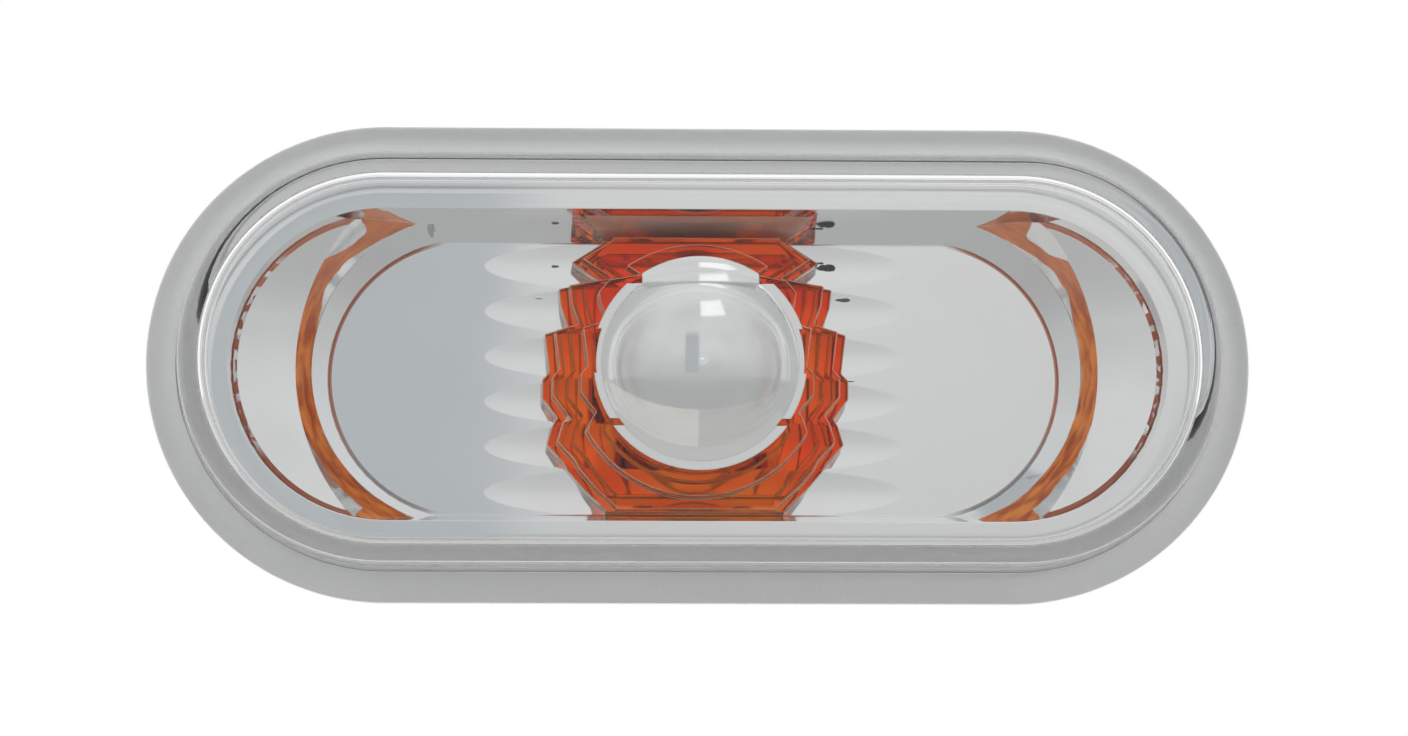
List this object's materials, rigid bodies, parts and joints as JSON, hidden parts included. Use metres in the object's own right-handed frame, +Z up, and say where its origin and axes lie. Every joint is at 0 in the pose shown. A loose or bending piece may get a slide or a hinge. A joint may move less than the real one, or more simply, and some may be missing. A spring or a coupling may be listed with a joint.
{
  "type": "side repeater lamp",
  "caption": "Clear stadium-shaped side repeater lamp with a chrome reflector, an amber collar round its bulb, a chrome dome, a panel hook, a spring tongue and a plug socket.",
  "frame": {"origin": "centre of the gasket's rear face, where the lamp seats on the outside of the panel", "axes": "+X along the lamp towards its hook, +Y through the panel into the car, +Z up; the lens faces -Y"},
  "size_m": [0.0926, 0.0466, 0.04],
  "materials": {
    "clear_lens": "clear",
    "foam": "matte",
    "shell_plastic": "matte",
    "chrome": "polished",
    "amber_plastic": "clear amber",
    "bulb_glass": "clear",
    "wire": "satin",
    "holder_plastic": "matte",
    "seal_rubber": "matte",
    "brass": "satin"
  },
  "bodies": {
    "root": {"outer_lens": "clear_lens", "flange_gasket": "foam", "housing": "shell_plastic", "reflector": "chrome", "amber_filter": "amber_plastic", "dome_shield": "chrome", "bulb_glass": "bulb_glass", "bulb_filament": "wire", "bulb_lead_left": "wire", "bulb_lead_right": "wire", "bulb_holder": "holder_plastic", "holder_seal": "seal_rubber", "terminal_left": "brass", "terminal_right": "brass"}
  },
  "joints": []
}
